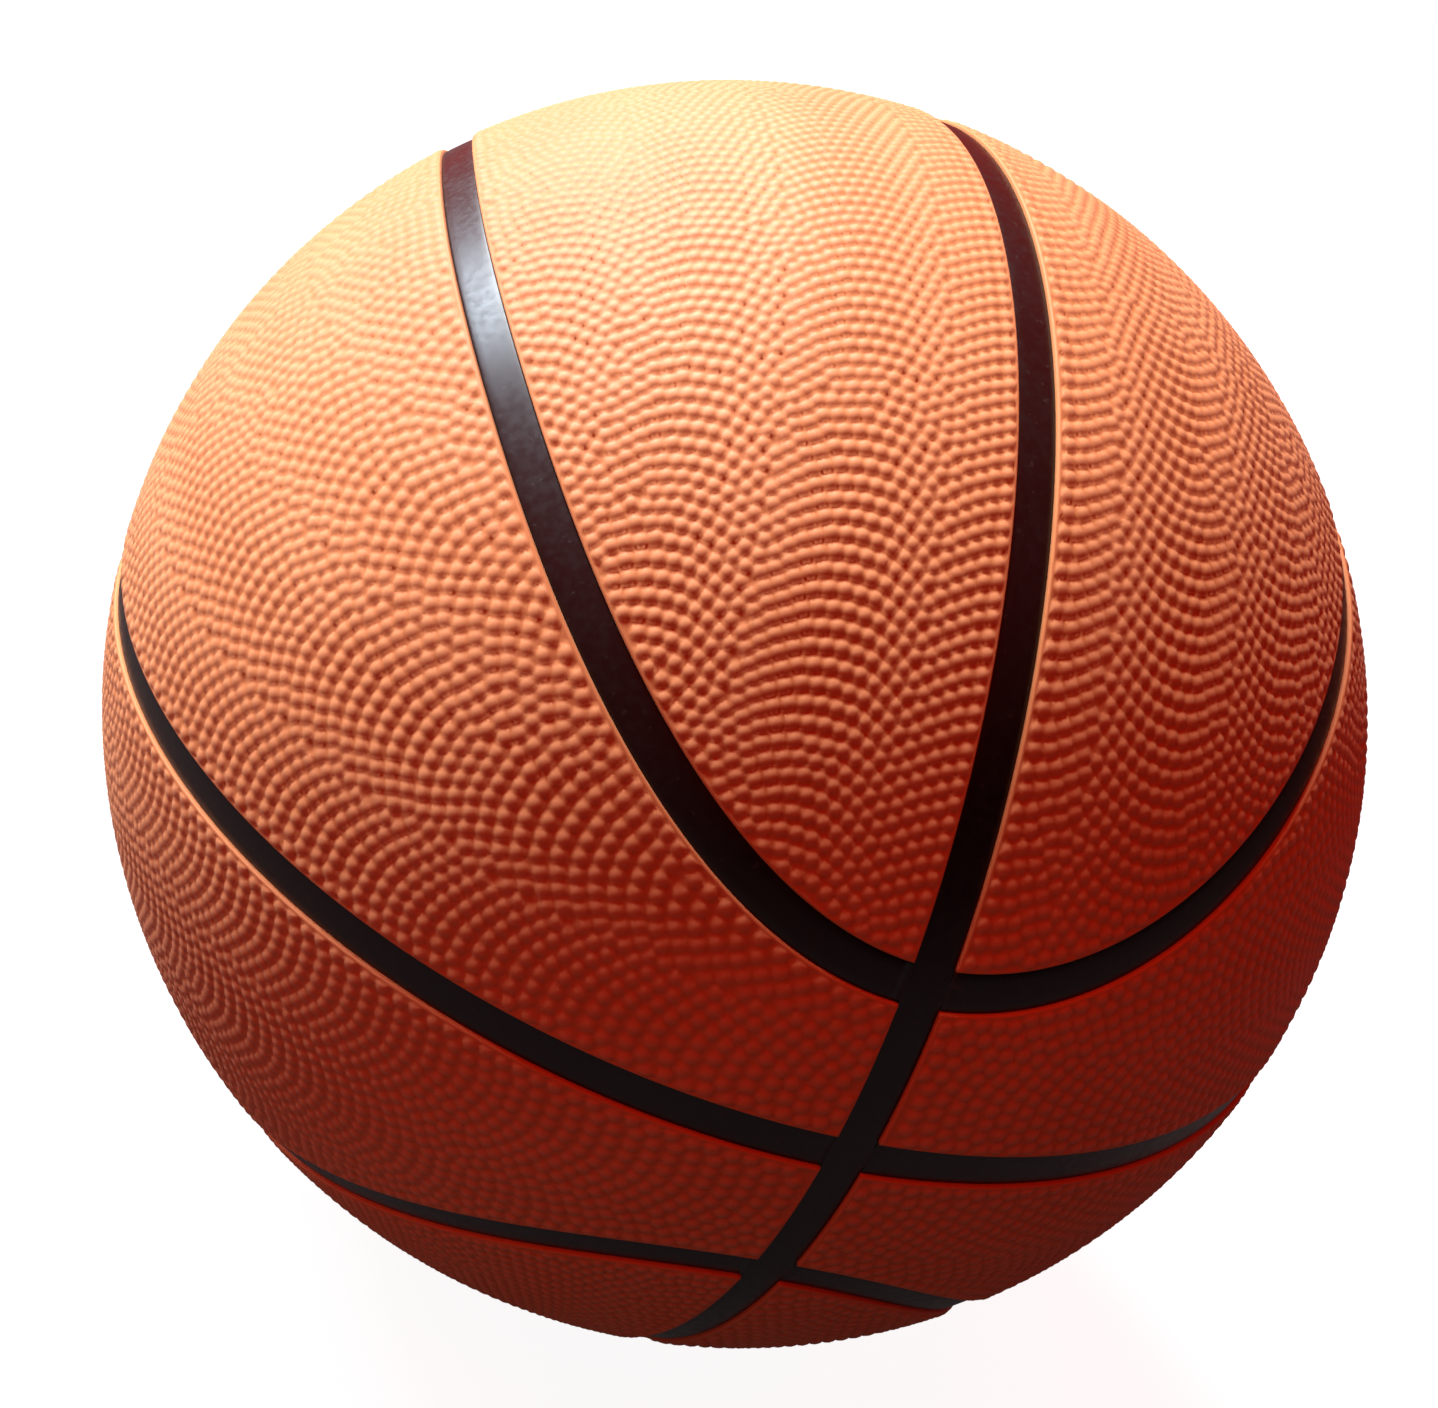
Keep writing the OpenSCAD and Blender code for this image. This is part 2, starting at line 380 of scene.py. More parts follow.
def nearest_places(points, count):
    """Numbers of the nearest other points, for each point."""
    tree = tree_of(points)
    return np.array([[hit[1] for hit in tree.find_n(p, count + 1)[1:]] for p in points])


def relaxed(points, panel, rounds):
    """The points after they have pushed each other apart inside the panel."""
    push_reach = touching * coarseness[panel] / ball_r
    for lap in range(rounds):
        if lap % laps_to_a_search == 0:
            near = nearest_places(points, neighbours)
        gaps = points[:, None] - points[near]
        lengths = np.linalg.norm(gaps, axis=2, keepdims=True)
        pushes = gaps / lengths * np.clip(1 - lengths / push_reach, 0, None)
        points = unit(points + push_share * push_reach * pushes.sum(1))
        clear, inward = from_sides(points, panel)
        short = np.clip(first_pebble - clear, 0, None) / ball_r
        points = unit(points + inward * short[:, None])
    return points

# %% [markdown]
# Where rows end, some pebbles still crowd each other and some leave a bare spot. Of two
# that crowd, the later one goes. A bare spot is widest at the point that is equally far
# from three pebbles, so those points are the ones to test for one more pebble. Too many
# rounds of pushing would wash the scallops out, so ten come before the thinning and
# filling, and seven after it.

# %% Thin out and fill in
cut_slack = 0.2 * touching
first_rounds = 10
last_rounds = 7
crowd = 4
ring_of_neighbours = 7


def thinned(points, panel):
    """The points without those that an earlier one crowds."""
    near = nearest_places(points, crowd)
    lengths = np.linalg.norm(points[:, None] - points[near], axis=2) * ball_r
    earlier = near < np.arange(len(points))[:, None]
    return points[~(earlier & (lengths < crowded * coarseness[panel])).any(1)]


def holes(points, panel):
    """Middles of the holes that could take one more pebble.

    On a ball of radius 1, the point as far from three points is square to their plane."""
    near = nearest_places(points, ring_of_neighbours)
    middles = []
    for i, j in itertools.combinations(range(ring_of_neighbours), 2):
        middle = unit(np.cross(points[near[:, i]] - points, points[near[:, j]] - points))
        middles.append(middle * np.sign(np.einsum("ij,ij->i", middle, points))[:, None])
    radii = np.concatenate([np.linalg.norm(middle - points, axis=1) for middle in middles])
    middles = np.vstack(middles)
    inside = from_sides(middles, panel)[0] > first_pebble
    least = crowded * coarseness[panel] / ball_r
    middles = middles[inside & (radii > least) & (radii < 2 * least)]
    tree = tree_of(points)
    return middles[[tree.find(p)[2] > least for p in middles]]


def filled(points, panel):
    """The points, with one more in each hole."""
    for p in holes(points, panel):
        if np.linalg.norm(points - p, axis=1).min() * ball_r > crowded * coarseness[panel]:
            points = np.vstack([points, p])
    return points


def pebble_places(panel):
    """Directions to all pebbles of a panel."""
    points = scalloped_rows(panel)
    points = points[from_sides(points, panel)[0] > first_pebble - cut_slack]
    points = thinned(relaxed(points, panel, first_rounds), panel)
    points = relaxed(filled(points, panel), panel, last_rounds)
    gaps = np.linalg.norm(points[:, None] - points[nearest_places(points, 1)], axis=2) * ball_r
    print(f"{panel}: {len(points)} pebbles, {gaps.mean() / mm:.2f} mm apart,")
    print(f"the nearest two {gaps.min() / mm:.2f} mm, and {len(holes(points, panel))} holes left")
    return points

# %% [markdown]
# The edge of a panel is a row of points a given distance in from its sides. The same sides
# moved outward and down give the rounded edge and the wall of the channel, so every row has
# as many points as the one before, and two rows make a band of faces.
#
# A row is put together from arcs. Each arc is cut into whole steps, and each step has
# points at the shares below: they are where a pebble beside the edge is steepest.

# %% Arcs of an edge
edge_step = 2.0 * mm
step_shares = np.array([0, 0.3, 0.5, 0.7])
per_step = len(step_shares)
fewest_steps = 4
furthest_corner = math.radians(30)
halvings = 40


def count_steps(angle):
    return max(fewest_steps, round(angle * ball_r / edge_step))


def spread_along(start, end, steps):
    """Steps from start up to but not including end, each with the shares of a step."""
    places = (np.arange(steps)[:, None] + step_shares).ravel() / steps
    return start + (end - start) * places


def great_arc(angles, x):
    """Directions on the circle at a fixed x; an angle runs from the pole towards the front."""
    rest = math.sqrt(1 - x * x)
    return np.stack([np.full_like(angles, x), -rest * np.sin(angles), rest * np.cos(angles)], -1)


def level_arc(turns, z):
    """Directions on the circle at a fixed z; a turn runs from the front to the right."""
    rest = math.sqrt(1 - z * z)
    return np.stack([rest * np.sin(turns), -rest * np.cos(turns), np.full_like(turns, z)], -1)


def turn_where(x, aside):
    """Turn at which the line beside the loop is at this x, by halving."""
    low, high = 0.0, furthest_corner
    for _ in range(halvings):
        middle = (low + high) / 2
        if beside_loop(middle, aside)[0] < x:
            low = middle
        else:
            high = middle
    return low


def corner_of(x, aside):
    """Where a straight side meets the loop: its turn, and its angle from the pole."""
    turn = turn_where(x, aside)
    corner = beside_loop(turn, aside)
    return turn, math.atan2(-corner[1], corner[2])

# %% Rows along the edges
loop_length = 0.8 * math.pi


def end_row(inset, r):
    """Directions along the edge of the end panel."""
    x = (channel_half + inset) / r
    aside = -(channel_half + inset)
    turn, angle = corner_of(x, aside)
    straight = spread_along(angle, -angle, count_steps(2 * loop_angles[0]))
    looped = spread_along(math.pi - turn, turn, count_steps(loop_length))
    return np.concatenate([great_arc(straight, x), beside_loop(looped, aside)])


def band_row(inset, r):
    """Directions along the edge of the band panel."""
    x = (channel_half + inset) / r
    aside = channel_half + inset
    turn, upper = corner_of(x, aside)
    lower = math.acos(x / math.sqrt(1 - x * x))
    first = math.asin(x / math.sqrt(1 - x * x))
    short = count_steps(math.pi / 2 - loop_angles[0])
    looped = spread_along(turn, math.pi - turn, count_steps(loop_length))
    middle = spread_along(math.pi - first, first, count_steps(math.pi))
    front = great_arc(spread_along(lower, upper, short), x)
    back = great_arc(spread_along(-upper, -lower, short), x)
    return np.concatenate([front, beside_loop(looped, aside), back, level_arc(middle, x)])


def port_row(inset, r):
    """Directions along the edge of the port, round the valve."""
    steps = count_steps(2 * math.pi * (port_r + lip_w) / ball_r)
    ring = round_axis(valve_in_quarter, spread_along(0, 2 * math.pi, steps))
    share = (port_r + inset) / r
    return valve_in_quarter * math.sqrt(1 - share * share) + ring * share


print("points along the edges:", len(end_row(lip_w, ball_r)), len(band_row(lip_w, ball_r)))

# %% [markdown]
# The pebbles' places become a net of triangles with a pebble at each corner. A map from the
# ball's surface to a flat sheet makes this a flat problem, which Blender's own function for
# flat nets solves. The stereographic map is the one to take, because it keeps angles, and
# so the good triangles stay good.

# %% Net of large triangles
end_tilt = math.radians(55)
band_tilt = math.radians(20)
same_point = 1e-9


def panel_axes(panel):
    """Centre direction of a panel, and two directions square to it."""
    tilt = end_tilt if "end" in panel else band_tilt
    centre = np.array([math.cos(tilt), 0, math.sin(tilt)])
    along = np.array([-math.sin(tilt), 0, math.cos(tilt)])
    return centre, along, np.cross(centre, along)


def flat_map(points, panel):
    centre, along, other = panel_axes(panel)
    share = 1 + points @ centre
    return np.stack([points @ along / share, points @ other / share], -1)


def flat_triangles(flat, rings):
    """Triangles between flat points, inside rings of point numbers, turned one way."""
    edges = [(int(a), int(b)) for ring in rings for a, b in zip(ring, np.roll(ring, -1))]
    result = geometry.delaunay_2d_cdt([Vector(p) for p in flat], edges, [], 1, same_point)
    triangles = np.array([[result[3][i][0] for i in face] for face in result[2]])
    a, b, c = (flat[triangles[:, i]] for i in range(3))
    turned = (b - a)[:, 0] * (c - a)[:, 1] < (b - a)[:, 1] * (c - a)[:, 0]
    triangles[turned] = triangles[turned][:, ::-1]
    if len(rings) == 2:
        in_hole = np.isin(triangles, rings[1]).all(1)
        triangles = triangles[~in_hole]
    return triangles

# %% [markdown]
# A pebble needs points on its slope as well as on its top. Cutting every triangle evenly
# again and again would give far too many. One pattern is enough: three points on every
# side, three within, and one in the pit between the three pebbles. The side points sit
# where a dome is steepest, so few of them draw a round pebble.

# %% Cut each large triangle
on_a_side = per_step - 1
within_shares = np.array([[2, 1, 1], [1, 2, 1], [1, 1, 2], [4 / 3, 4 / 3, 4 / 3]]) / 4


def small_triangles():
    """The pattern that cuts a large triangle, by the numbers of its 16 points."""
    places = [(0, 0), (4, 0), (0, 4), (1, 0), (2, 0), (3, 0), (3, 1), (2, 2), (1, 3)]
    places += [(0, 3), (0, 2), (0, 1), (1, 1), (2, 1), (1, 2)]
    small = []
    for i in range(4):
        for j in range(4 - i):
            small.append([(i, j), (i + 1, j), (i, j + 1)])
            if i + j < 3:
                small.append([(i + 1, j), (i + 1, j + 1), (i, j + 1)])
    small.remove([(1, 1), (2, 1), (1, 2)])
    numbers = [[places.index(p) for p in corners] for corners in small]
    return np.array(numbers + [[12, 13, 15], [13, 14, 15], [14, 12, 15]])


def side_numbers(first, side, onward):
    """Numbers of the points on sides, in the order in which they are met."""
    return first + on_a_side * side[:, None] + np.where(onward, [0, 1, 2], [2, 1, 0])


def cut_net(points, triangles, rings, rows):
    """All points and small triangles, and for each row the numbers of its points."""
    count = len(points)
    pairs = triangles[:, [[0, 1], [1, 2], [2, 0]]].reshape(-1, 2)
    codes, which = np.unique(pairs.min(1) * count + pairs.max(1), return_inverse=True)
    ends = points[codes // count], points[codes % count]
    on_sides = ends[0][:, None] + (ends[1] - ends[0])[:, None] * step_shares[1:, None]
    onward = (pairs[:, 0] < pairs[:, 1])[:, None]
    of_sides = side_numbers(count, which, onward).reshape(len(triangles), -1)
    within = np.einsum("ks,tsd->tkd", within_shares, points[triangles])
    first_within = count + on_a_side * len(codes)
    of_within = first_within + 4 * np.arange(len(triangles))[:, None] + np.arange(4)
    table = np.hstack([triangles, of_sides, of_within])
    row_numbers = []
    for ring, row in zip(rings, rows):
        after = np.roll(ring, -1)
        code = np.minimum(ring, after) * count + np.maximum(ring, after)
        side = np.searchsorted(codes, code)
        onward = (ring < after)[:, None]
        steps = row.reshape(-1, per_step, 3)
        on_sides[side] = np.where(onward[..., None], steps[:, 1:], steps[:, :0:-1])
        numbers = side_numbers(count, side, onward)
        row_numbers.append(np.hstack([ring[:, None], numbers]).ravel())
    everything = unit(np.vstack([points, on_sides.reshape(-1, 3), within.reshape(-1, 3)]))
    return everything, table[:, small_triangles()].reshape(-1, 3), row_numbers


print("small triangles in a large one:", len(small_triangles()))

# %% [markdown]
# A pebble is a low dome, half a millimetre high and two and a half across. Along its sides
# a panel has a smooth lip, lower than the pebbles, left by the rib in the mould that makes
# the channel. The lip rolls over into the channel's wall with a small round edge, which
# catches the light as a thin line.

# %% Heights of the surface
pebble_h = 0.5 * mm
pebble_r = 1.25 * mm
fullness = 0.7
lip_share = 0.4
lip_flat_w = 0.9 * lip_w
lip_fade_w = 0.6 * mm
roll_r = 0.35 * mm
valley_r = ball_r - pebble_h
lip_r = valley_r + lip_share * pebble_h


def ease(x):
    x = np.clip(x, 0, 1)
    return x * x * (3 - 2 * x)


def surface_radius(points, centres, panel):
    """Distance of the outside from the ball's centre, with the pebbles and the lip."""
    tree = tree_of(centres)
    away = np.array([tree.find(p)[2] for p in points]) * ball_r
    dome = np.clip(1 - (away / pebble_r / coarseness[panel]) ** 2, 0, 1) ** fullness
    lip = lip_share * (1 - ease((from_sides(points, panel)[0] - lip_flat_w) / lip_fade_w))
    return valley_r + pebble_h * np.maximum(dome, lip)


def edge_profile():
    """Rows from the lip to the inner face: inset from the wall, radius, and path so far."""
    rows = [(lip_w, lip_r)]
    for a in np.radians(np.linspace(0, 90, 5)):
        rows.append((roll_r * (1 - math.sin(a)), lip_r - roll_r * (1 - math.cos(a))))
    rows.append((0, cover_inside))
    steps = np.linalg.norm(np.diff(rows, axis=0), axis=1)
    return [(inset, r, s) for (inset, r), s in zip(rows, np.r_[0, np.cumsum(steps)])]


print(f"from lip to inner face: {edge_profile()[-1][2] / mm:.2f} mm in {len(edge_profile())} rows")

# %% [markdown]
# A panel is now made in three steps: the pebbled outside, the rounded edge and wall that
# run down from its rim, and the inner face that closes it. A closed piece of real thickness
# is right from every side, where a single sheet would show its back at the channels.
#
# The inner face is smooth and out of sight, so a few of the pebbles' places serve as its
# points. They are too few to be exact: its flat triangles dip into the carcass behind it.
#
# Each panel also gets a flat map of its own, in which the outside is one island and the
# inner face another.

# %% Parts of a panel
inner_every = 14
inner_clear = 4 * mm


def stitched(lower, upper):
    """Triangles between two rows of the same length."""
    a, b = np.roll(lower, -1), np.roll(upper, -1)
    return np.vstack([np.stack([lower, upper, b], -1), np.stack([lower, b, a], -1)])


def numbered(rows):
    """Running numbers for the points of some rows, row by row."""
    starts = np.cumsum([0] + [len(row) for row in rows])
    return [np.arange(a, b) for a, b in zip(starts, starts[1:])]


def pebbled_outside(panel, makers, centres):
    """Directions, places and triangles of the outside, and the numbers along its rims."""
    rows = [maker(lip_w, ball_r) for maker in makers]
    mains = [row[::per_step] for row in rows]
    points = np.vstack(mains + [centres])
    net = flat_triangles(flat_map(points, panel), numbered(mains))
    directions, triangles, rims = cut_net(points, net, numbered(mains), rows)
    places = directions * surface_radius(directions, centres, panel)[:, None]
    for rim in rims:
        places[rim] = unit(places[rim]) * lip_r
    return directions, places, triangles, rims


def wall_below(panel, maker, rim, count):
    """Places, flat places and triangles from a rim down to the inner face, and the last row."""
    places, flats, faces = [], [], []
    for inset, r, path in edge_profile()[1:]:
        row = maker(inset, r)
        places.append(row * r)
        flats.append(flat_map(maker(lip_w - path, ball_r), panel))
        lower = np.arange(count, count + len(row))
        faces.append(stitched(lower, rim))
        rim = lower
        count += len(row)
    return np.vstack(places), np.vstack(flats), np.vstack(faces), rim


def inner_face(panel, places, rims, centres):
    """Directions to the points inside the inner face, and its triangles."""
    inner = centres[::inner_every]
    inner = inner[from_sides(inner, panel)[0] > inner_clear]
    numbers = np.r_[np.concatenate(rims), np.arange(len(places), len(places) + len(inner))]
    around = unit(places[np.concatenate(rims)])
    flat = flat_map(np.vstack([around, unit(inner * cover_inside)]), panel)
    return inner, numbers[flat_triangles(flat, numbered(rims))[:, ::-1]]

# %% Panel shapes
def panel_shape(panel):
    """Points, triangles, which triangles are inner ones, and the two flat maps."""
    makers = [end_row if "end" in panel else band_row] + [port_row] * ("valve" in panel)
    centres = pebble_places(panel)
    directions, places, faces, rims = pebbled_outside(panel, makers, centres)
    flats = flat_map(directions, panel)
    last_rows = []
    for maker, rim in zip(makers, rims):
        wall_places, wall_flats, wall_faces, last_row = wall_below(panel, maker, rim, len(places))
        places = np.vstack([places, wall_places])
        flats = np.vstack([flats, wall_flats])
        faces = np.vstack([faces, wall_faces])
        last_rows.append(last_row)
    inner, inner_faces = inner_face(panel, places, last_rows, centres)
    places = np.vstack([places, inner * cover_inside])
    flats = np.vstack([flats, flat_map(inner, panel)])
    is_inner = np.arange(len(faces) + len(inner_faces)) >= len(faces)
    return places, np.vstack([faces, inner_faces]), is_inner, flats


panel_shapes = {panel: panel_shape(panel) for panel in coarseness}
for panel, (places, faces, _, _) in panel_shapes.items():
    print(f"{panel}: {len(places)} points, {len(faces)} triangles")

# %% [markdown]
# A piece of a hundred and sixty thousand triangles is slow to build one face at a time.
# Blender's meshes take whole arrays instead: the points, the corners of all faces in one
# run, and where each face starts. Every piece then rides on the one body that the ball is.

# %% Make a mesh piece
def add_piece(name, places, faces, smooth=True, flat=None):
    """A closed mesh of triangles that rides on the ball, with its outside turned out."""
    a, b, c = (places[faces[:, i]] for i in range(3))
    if np.einsum("ij,ij->", a, np.cross(b, c)) < 0:
        faces = faces[:, ::-1]
    mesh = bpy.data.meshes.new(name)
    mesh.vertices.add(len(places))
    mesh.vertices.foreach_set("co", np.asarray(places, np.float32).ravel())
    mesh.loops.add(3 * len(faces))
    mesh.loops.foreach_set("vertex_index", np.asarray(faces, np.int32).ravel())
    mesh.polygons.add(len(faces))
    mesh.polygons.foreach_set("loop_start", np.arange(0, 3 * len(faces), 3, dtype=np.int32))
    mesh.polygons.foreach_set("use_smooth", np.array(np.broadcast_to(smooth, len(faces))))
    if flat is not None:
        sheet = mesh.uv_layers.new(name="OFBake")
        sheet.uv.foreach_set("vector", np.asarray(flat, np.float32).ravel())
    mesh.update(calc_edges=True)
    mesh.validate()
    piece = add_object(name, mesh)
    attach(piece, "root")
    return piece

# %% [markdown]
# The eight panels come from four shapes, turned by their quarter's signs: a fine and a
# coarse end panel, a plain band panel, and the one band panel that has the valve's port.

# %% Panels
island_w = 0.48
island_h = 0.98
sheet_edge = 0.01
special_shapes = {"top_right_end": "coarse_end", "bottom_right_end": "coarse_end",
                  "bottom_right_band": "valve_band"}


def island_sheet(faces, is_inner, flats):
    """Corner by corner, the place in the unit square: outside left, inner face right."""
    low, high = flats.min(0), flats.max(0)
    scale = min(island_w / (high - low)[0], island_h / (high - low)[1])
    corners = (flats[faces.ravel()] - low) * scale + sheet_edge
    corners[np.repeat(is_inner, 3), 0] += 0.5
    return corners


panels = []
for quarter, signs in quarter_signs.items():
    for kind in ("end", "band"):
        panel = f"{quarter}_{kind}"
        node = panel + "_panel"
        places, faces, is_inner, flats = panel_shapes[special_shapes.get(panel, kind)]
        sheet = island_sheet(faces, is_inner, flats)
        piece = add_piece(node + "_rubber", places * signs, faces, ~is_inner, sheet)
        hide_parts(node)
        panels.append(piece)
print(len(panels), "panels")

# %% [markdown]
# The black strips are what makes a basketball's drawing. They are smooth rubber, nearly
# flat, and their sides turn down a little where they meet the panels, so each strip shows
# one broad reflection and a dark line on either side.
#
# Where two channels cross, a strip must not end in a visible step. So a strip's height
# depends on one thing only: how far a point is from the nearest panel. At a crossing the
# nearest panel is the same for both strips, and they join smoothly.

# %% Strip surface
strip_side = channel_half - 0.03 * mm
turned_down_w = 0.9 * mm
turned_down_h = 0.16 * mm
width_shares = np.array([-1, -0.93, -0.82, -0.5, 0, 0.5, 0.82, 0.93, 1])


def panel_gap(points):
    """Distance from points in the channels to the nearest panel."""
    quarter = np.abs(points) * [1, 0, 1] + points * [0, 1, 0]
    past, _ = past_loop(quarter)
    beside = quarter[:, 0] * ball_r - channel_half
    below = quarter[:, 2] * ball_r - channel_half
    end = np.hypot(np.minimum(beside, 0), np.minimum(-past - channel_half, 0))
    band = np.hypot(np.minimum(beside, 0), np.minimum(past - channel_half, 0))
    band = np.hypot(band, np.minimum(below, 0))
    return np.minimum(end, band)


def strip_radius(points):
    """Distance of a strip's top from the ball's centre."""
    near = 1 - np.clip(panel_gap(points) / turned_down_w, 0, 1)
    return strip_top - turned_down_h * near ** 2


print(f"strips {2 * strip_side / mm:.2f} mm wide, {(ball_r - strip_top) / mm:.2f} mm below the pebbles")

# %% [markdown]
# A strip is swept: one line along the channel for each of nine places across it, joined to
# bands of faces, with a flat underside. The ring from pole to pole closes on itself. The
# others stop against the ring and get a cap at each end.
#
# One flaw is left. Exactly at the top pole the way across the loop has no answer, so the
# ring's middle point there gets no height, and Blender puts it at the ball's centre.

# %% Lines along the channels
def ring_line(x, steps):
    angles = np.linspace(0, 2 * math.pi, steps, endpoint=False)
    return great_arc(angles, x / strip_top)


def middle_line(z, steps):
    share = z / strip_top
    first = math.asin(channel_half / strip_top / math.sqrt(1 - share * share))
    return level_arc(np.linspace(first, math.pi - first, steps), share)


def loop_line(aside, steps):
    first = turn_where(channel_half / strip_top, aside)
    return beside_loop(np.linspace(first, math.pi - first, steps), aside)


def strip_shape(line, steps, closed):
    """Points and triangles of a strip, and which of the triangles are on its top."""
    lines = np.stack([line(a, steps) for a in width_shares * strip_side], 1)
    tops = lines * strip_radius(lines.reshape(-1, 3)).reshape(steps, -1, 1)
    unders = lines[:, ::-1] * cover_inside
    loops = np.concatenate([tops, unders], 1)
    width = loops.shape[1]
    across = len(width_shares)
    numbers = np.arange(steps * width).reshape(steps, width)
    rows = np.vstack([numbers, numbers[:1]]) if closed else numbers
    faces = [stitched(a, b) for a, b in zip(rows, rows[1:])]
    is_top = [np.arange(width) < across - 1] * 2 * len(faces)
    if not closed:
        for end, turned in ((numbers[0], 1), (numbers[-1], -1)):
            top, under = end[:across], end[:across - 1:-1]
            cap = stitched(under, top)[np.tile(np.arange(across) < across - 1, 2)]
            faces.append(cap[:, ::turned])
            is_top.append(np.zeros(len(cap), bool))
    return loops.reshape(-1, 3), np.vstack(faces), np.concatenate(is_top)

# %% Strips
ring_steps = 480
half_steps = 240
strip_plan = {
    "pole_to_pole_strip": (ring_line, "top_right"),
    "middle_right_strip": (middle_line, "top_right"),
    "middle_left_strip": (middle_line, "top_left"),
    "top_loop_right_strip": (loop_line, "top_right"),
    "top_loop_left_strip": (loop_line, "top_left"),
    "bottom_loop_right_strip": (loop_line, "bottom_right"),
    "bottom_loop_left_strip": (loop_line, "bottom_left"),
}
strips = []
for node, (line, quarter) in strip_plan.items():
    closed = line is ring_line
    places, faces, is_top = strip_shape(line, ring_steps if closed else half_steps, closed)
    piece = add_piece(node + "_rubber", places * quarter_signs[quarter], faces, is_top)
    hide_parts(node)
    strips.append(piece)
print(len(strips), "strips")

# %% [markdown]
# The valve plug is turned round the valve's axis like a part on a lathe. Its head is
# slightly dished, its rim is round, and a small funnel leads the needle into the guide
# hole. The head, the collar and the stem are measured on the CAD plug, and the guide hole
# is the one that the record names for the needle.

# %% Sizes of the valve plug
near_the_end = 1 * mm
heights, distances = along_valve("valve_plug")
plug_top, plug_end = heights.max(), heights.min()
collar_r = distances.max()
stem_r = distances[heights < plug_end + near_the_end].max()
guide_r = needle_hole["dims"]["r_mm"] * mm
guide_end = plug_top - needle_hole["dims"]["length_mm"] * mm
tip_r = 0.7 * guide_r
tip_h = 0.5 * mm
funnel_r = 2.0 * mm
funnel_h = 0.8 * mm
dish = 0.15 * mm
rim = 0.4 * mm
rim_start = 1.4 * rim
rim_drop = 0.1 * rim
collar_t = 1.6 * mm
print(f"plug {(plug_top - plug_end) / mm:.1f} mm long, collar {2 * collar_r / mm:.1f} mm wide")

# %% Valve plug
def lathe(profile, turns=72):
    """Points and triangles of a profile of radius and height, turned round the valve's axis."""
    ring = round_axis(valve_axis, np.linspace(0, 2 * math.pi, turns, endpoint=False))
    places = np.vstack([ring * r + valve_axis * h for r, h in profile[1:-1]])
    ends = np.array([valve_axis * profile[0][1], valve_axis * profile[-1][1]])
    numbers = np.arange(len(places)).reshape(-1, turns)
    faces = [stitched(a, b) for a, b in zip(numbers, numbers[1:])]
    for row, centre, turned in ((numbers[0], len(places), 1), (numbers[-1], len(places) + 1, -1)):
        fan = np.stack([row, np.roll(row, -1), np.full(turns, centre)], -1)
        faces.append(fan[:, ::turned])
    return np.vstack([places, ends]), np.vstack(faces)


def round_corner(r, h, start, points=6):
    """Points of a quarter round of the rim, about its own centre, from an angle in degrees."""
    angles = np.radians(start - np.linspace(0, 90, points))
    return [(r + rim * math.cos(a), h + rim * math.sin(a)) for a in angles]


profile = [(0, guide_end), (tip_r, guide_end), (guide_r, guide_end + tip_h)]
profile += [(guide_r, plug_top - dish - funnel_h), (funnel_r, plug_top - dish)]
profile += [(collar_r - rim_start, plug_top - rim_drop)]
profile += round_corner(collar_r - rim, plug_top - rim, 90)
profile += round_corner(collar_r - rim, plug_top - collar_t + rim, 0)
profile += [(stem_r, plug_top - collar_t), (stem_r, plug_end + rim)]
profile += [(stem_r - rim, plug_end), (0, plug_end)]
places, faces = lathe(profile)
plug = add_piece("valve_plug_rubber", places, faces)
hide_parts("valve_plug")
print("valve plug:", len(faces), "triangles")

# %% [markdown]
# A finish is written as sums. A socket of a material is wrapped in a small class whose
# operators add the maths nodes, so a mask is written as one would write it on paper.
# Nodes other than sums come from one method that takes the node's type, its settings and
# what goes into its sockets.

# %% Sums of nodes
class Value:
    """A socket among the nodes. Arithmetic on it adds the nodes that do it."""

    def __init__(self, nodes, socket):
        self.nodes = nodes
        self.socket = socket

    def sum_of(self, operation, a, b):
        return self.nodes.node("ShaderNodeMath", {"operation": operation}, {0: a, 1: b})

    def __add__(self, other):
        return self.sum_of("ADD", self, other)

    def __radd__(self, other):
        return self.sum_of("ADD", other, self)

    def __sub__(self, other):
        return self.sum_of("SUBTRACT", self, other)

    def __rsub__(self, other):
        return self.sum_of("SUBTRACT", other, self)

    def __mul__(self, other):
        return self.sum_of("MULTIPLY", self, other)

    def __rmul__(self, other):
        return self.sum_of("MULTIPLY", other, self)

    def __truediv__(self, other):
        return self.sum_of("DIVIDE", self, other)

    def __rtruediv__(self, other):
        return self.sum_of("DIVIDE", other, self)

    def over(self, low, high):
        """0 below low, 1 above high, and a smooth change between them."""
        inputs = {"Value": self, "From Min": low, "From Max": high}
        settings = {"interpolation_type": "SMOOTHSTEP", "clamp": True}
        return self.nodes.node("ShaderNodeMapRange", settings, inputs)

    def between(self, a, b):
        """The colour b where this is 1, and the colour a where it is 0."""
        return self.nodes.node("ShaderNodeMix", {"data_type": "RGBA"}, {0: self, 6: a, 7: b}, 2)

# %% A tree of nodes
class Nodes:
    """A tree of nodes, of a material or of the world."""

    def __init__(self, tree):
        self.tree = tree

    def node(self, kind, settings=None, inputs=None, output=0):
        """A new node's output: its settings are made first, then its sockets are filled."""
        new = self.tree.nodes.new(kind)
        for name, value in (settings or {}).items():
            setattr(new, name, value)
        for name, value in (inputs or {}).items():
            self.fill(new.inputs[name], value)
        return Value(self, new.outputs[output])

    def fill(self, socket, value):
        """Link a value into a socket, or write a number or colour on it."""
        if isinstance(value, Value):
            self.tree.links.new(value.socket, socket)
        elif socket.type == "RGBA":
            socket.default_value = (*value, 1.0)
        else:
            socket.default_value = value

